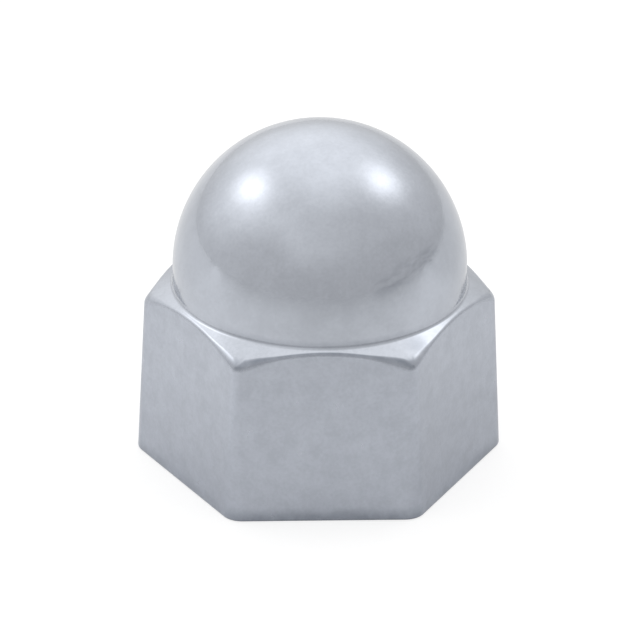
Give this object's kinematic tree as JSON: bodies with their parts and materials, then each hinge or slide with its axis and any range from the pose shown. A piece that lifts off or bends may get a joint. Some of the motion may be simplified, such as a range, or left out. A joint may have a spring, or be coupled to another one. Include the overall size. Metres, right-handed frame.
{
  "type": "acorn nut cover",
  "caption": "Chromed push-on shell with a drafted hexagonal skirt, a chamfered shoulder and a round dome, which hides a hexagon nut and the end of its stud.",
  "frame": {"origin": "on the axis of the cover, in the plane of its open rim", "axes": "+Z along the axis to the top of the dome; +Y and -Y square to two opposite flats; X through two opposite corners"},
  "size_m": [0.025, 0.0222, 0.024],
  "materials": {
    "chrome_plating": "polished dome, satin flats"
  },
  "bodies": {
    "root": {"cover": "chrome_plating"}
  },
  "joints": []
}
